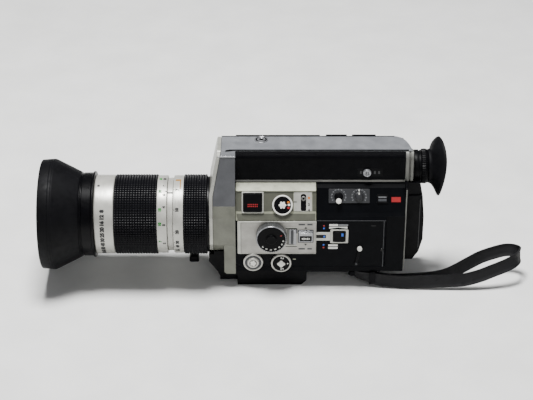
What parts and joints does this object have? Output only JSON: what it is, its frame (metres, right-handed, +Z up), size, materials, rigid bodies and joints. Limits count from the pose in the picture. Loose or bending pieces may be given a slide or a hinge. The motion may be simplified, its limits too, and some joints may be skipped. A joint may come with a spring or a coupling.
{
  "type": "cine camera",
  "caption": "Film-cartridge cine camera with a long zoom lens, rubber hood, folding grip, side controls, film door, viewfinder with eyecup and a wrist strap.",
  "frame": {"origin": "on the underside of the base block, on the centre plane of the body, beside the tripod socket", "axes": "+Z up, the lens looks along -X, the control side faces -Y, the film door faces +Y"},
  "size_m": [0.4636, 0.1062, 0.1418],
  "materials": {
    "silver_cover": "satin silver-grey lacquer",
    "olive_panel": "satin champagne silver",
    "dark_grey_casting": "dark grey satin paint",
    "front_plate": "brushed silver",
    "brushed_panel": "fine brushed aluminium",
    "black_shell": "black, fine moulded grain and leatherette",
    "black_part": "satin black",
    "gloss_black": "gloss black",
    "chrome_trim": "bright",
    "lens_silver": "satin anodised, engraved scales",
    "lens_black": "black anodised",
    "lens_rubber": "square-knurled rubber",
    "soft_rubber": "matt rubber",
    "optical_glass": "coated",
    "steel_part": "plain",
    "white_plastic": "white",
    "instrument_grey": "grey scale plate",
    "strap_cloth": "woven strap",
    "battery_jacket": "plain jacket",
    "cartridge_plastic": "moulded",
    "board_green": "lacquered board"
  },
  "bodies": {
    "camera_body": {"left_housing": "black_shell", "right_housing": "black_shell", "top_cover": "silver_cover", "front_upper_casting": "dark_grey_casting", "front_casting": "olive_panel", "front_plate": "front_plate", "base_frame": "black_part", "console_panel": "olive_panel", "side_panel": "brushed_panel", "side_trim": "chrome_trim", "rear_bezel": "chrome_trim", "release_socket": "chrome_trim", "eyepiece_mount": "black_part", "eyepiece_tube": "black_part", "eyepiece_lens": "optical_glass", "lens_tube": "lens_black", "lens_flange": "lens_silver", "dissolve_frame": "brushed_panel", "instrument_plate": "instrument_grey", "door_hinge_pin": "steel_part", "grip_pivot_pin": "steel_part", "film_cartridge": "cartridge_plastic", "film_gate": "steel_part", "motor": "steel_part", "circuit_board": "board_green"},
    "grip": {"grip_body": "black_shell", "battery_holder": "battery_jacket", "wrist_strap": "strap_cloth"},
    "trigger": {"trigger": "black_part"},
    "battery_cover": {"battery_cover": "black_part"},
    "focus_barrel": {"lens_hood": "soft_rubber", "front_ring": "lens_silver", "focus_grip": "lens_rubber", "focus_scale_ring": "lens_silver", "front_element": "optical_glass"},
    "zoom_ring": {"zoom_grip": "lens_rubber", "zoom_scale_ring": "lens_silver", "zoom_lever": "black_part"},
    "diopter_ring": {"diopter_ring": "black_part"},
    "eyecup": {"eyecup": "soft_rubber"},
    "check_button": {"check_button": "gloss_black"},
    "mode_dial": {"mode_dial": "gloss_black"},
    "slot_knob": {"slot_knob": "chrome_trim"},
    "speed_dial": {"speed_dial": "brushed_panel"},
    "fade_lever": {"fade_lever": "brushed_panel"},
    "fade_slider": {"fade_slider": "brushed_panel"},
    "dissolve_button": {"dissolve_button": "gloss_black"},
    "cell_cap": {"cell_cap": "lens_silver"},
    "main_switch": {"main_switch": "gloss_black"},
    "swing_lever": {"swing_lever": "white_plastic"},
    "interval_knob": {"interval_knob": "gloss_black"},
    "timer_knob": {"timer_knob": "gloss_black"},
    "finder_shutter_knob": {"finder_shutter_knob": "lens_silver"},
    "tele_button": {"tele_button": "gloss_black"},
    "wide_button": {"wide_button": "gloss_black"},
    "film_door": {"film_door": "black_shell"},
    "door_latch": {"door_latch": "chrome_trim"},
    "motor_pinion": {"motor_pinion": "steel_part"},
    "shutter": {"shutter_disc": "steel_part"},
    "take_up_spindle": {"take_up_spindle": "white_plastic"}
  },
  "joints": [
    {"name": "grip_fold", "type": "hinge", "parent": "camera_body", "child": "grip", "pos_m": [0.036, 0, 0.022], "axis": [0, 1, 0], "range_deg": [0, 90]},
    {"name": "trigger_pull", "type": "slide", "parent": "grip", "child": "trigger", "axis": [0, 0, 1], "range_m": [0, 0.0025]},
    {"name": "battery_cover_pull", "type": "slide", "parent": "grip", "child": "battery_cover", "axis": [1, 0, 0], "range_m": [0, 0.01]},
    {"name": "focus_turn", "type": "hinge", "parent": "camera_body", "child": "focus_barrel", "pos_m": [-0.09, 0, 0.066], "axis": [1, 0, 0], "range_deg": [-100, 100]},
    {"name": "zoom_turn", "type": "hinge", "parent": "camera_body", "child": "zoom_ring", "pos_m": [-0.035, 0, 0.066], "axis": [1, 0, 0], "range_deg": [-60, 60]},
    {"name": "diopter_turn", "type": "hinge", "parent": "camera_body", "child": "diopter_ring", "pos_m": [0.187, 0.0105, 0.1133], "axis": [1, 0, 0], "range_deg": [-60, 60]},
    {"name": "eyecup_turn", "type": "hinge", "parent": "camera_body", "child": "eyecup", "pos_m": [0.195, 0.0105, 0.1133], "axis": [1, 0, 0], "continuous": true},
    {"name": "check_push", "type": "slide", "parent": "camera_body", "child": "check_button", "axis": [0, 0.866, -0.5], "range_m": [0, 0.0008]},
    {"name": "mode_turn", "type": "hinge", "parent": "camera_body", "child": "mode_dial", "pos_m": [0.0514, -0.02015, 0.08742], "axis": [0, -0.866, 0.5], "range_deg": [-120, 120]},
    {"name": "slot_slide", "type": "slide", "parent": "camera_body", "child": "slot_knob", "axis": [0, 0.5, 0.866], "range_m": [-0.008, 0]},
    {"name": "speed_turn", "type": "hinge", "parent": "camera_body", "child": "speed_dial", "pos_m": [0.0408, -0.029, 0.0594], "axis": [0, -1, 0], "range_deg": [-150, 150]},
    {"name": "fade_lever_slide", "type": "slide", "parent": "camera_body", "child": "fade_lever", "axis": [0, 0, 1], "range_m": [-0.005, 0.005]},
    {"name": "fade_slider_slide", "type": "slide", "parent": "camera_body", "child": "fade_slider", "axis": [0, 0, 1], "range_m": [-0.003, 0.003]},
    {"name": "dissolve_push", "type": "slide", "parent": "camera_body", "child": "dissolve_button", "axis": [0, 1, 0], "range_m": [0, 0.001]},
    {"name": "cell_cap_turn", "type": "hinge", "parent": "camera_body", "child": "cell_cap", "pos_m": [0.0233, -0.02825, 0.029], "axis": [0, -1, 0], "range_deg": [0, 90]},
    {"name": "main_turn", "type": "hinge", "parent": "camera_body", "child": "main_switch", "pos_m": [0.0503, -0.02825, 0.0286], "axis": [0, -1, 0], "range_deg": [-90, 90]},
    {"name": "swing_lever_turn", "type": "hinge", "parent": "camera_body", "child": "swing_lever", "pos_m": [0.1229, -0.02825, 0.0272], "axis": [0, -1, 0], "range_deg": [-20, 20]},
    {"name": "interval_turn", "type": "hinge", "parent": "camera_body", "child": "interval_knob", "pos_m": [0.1049, -0.01605, 0.09452], "axis": [0, -0.866, 0.5], "range_deg": [-120, 120]},
    {"name": "timer_turn", "type": "hinge", "parent": "camera_body", "child": "timer_knob", "pos_m": [0.1243, -0.01605, 0.09452], "axis": [0, -0.866, 0.5], "range_deg": [-120, 120]},
    {"name": "finder_shutter_slide", "type": "slide", "parent": "camera_body", "child": "finder_shutter_knob", "axis": [1, 0, 0], "range_m": [-0.003, 0.003]},
    {"name": "tele_push", "type": "slide", "parent": "camera_body", "child": "tele_button", "axis": [0, 0, -1], "range_m": [0, 0.001]},
    {"name": "wide_push", "type": "slide", "parent": "camera_body", "child": "wide_button", "axis": [0, 0, -1], "range_m": [0, 0.001]},
    {"name": "door_open", "type": "hinge", "parent": "camera_body", "child": "film_door", "pos_m": [0.082, 0.0315, 0.066], "axis": [0, 0, 1], "range_deg": [0, 100]},
    {"name": "door_latch_slide", "type": "slide", "parent": "film_door", "child": "door_latch", "axis": [0, 0, 1], "range_m": [-0.004, 0]},
    {"name": "shutter_spin", "type": "hinge", "parent": "camera_body", "child": "shutter", "pos_m": [0.0765, 0, 0.079], "axis": [1, 0, 0], "continuous": true},
    {"name": "motor_spin", "type": "hinge", "parent": "camera_body", "child": "motor_pinion", "pos_m": [0.0745, 0.0142, 0.0932], "axis": [1, 0, 0], "continuous": true},
    {"name": "take_up_spin", "type": "hinge", "parent": "camera_body", "child": "take_up_spindle", "pos_m": [0.122, -0.005, 0.074], "axis": [0, 1, 0], "continuous": true}
  ],
  "couplings": [
    {"joint": "motor_spin", "follows": "shutter_spin", "ratio": -3.875},
    {"joint": "take_up_spin", "follows": "shutter_spin", "ratio": 0.125}
  ]
}
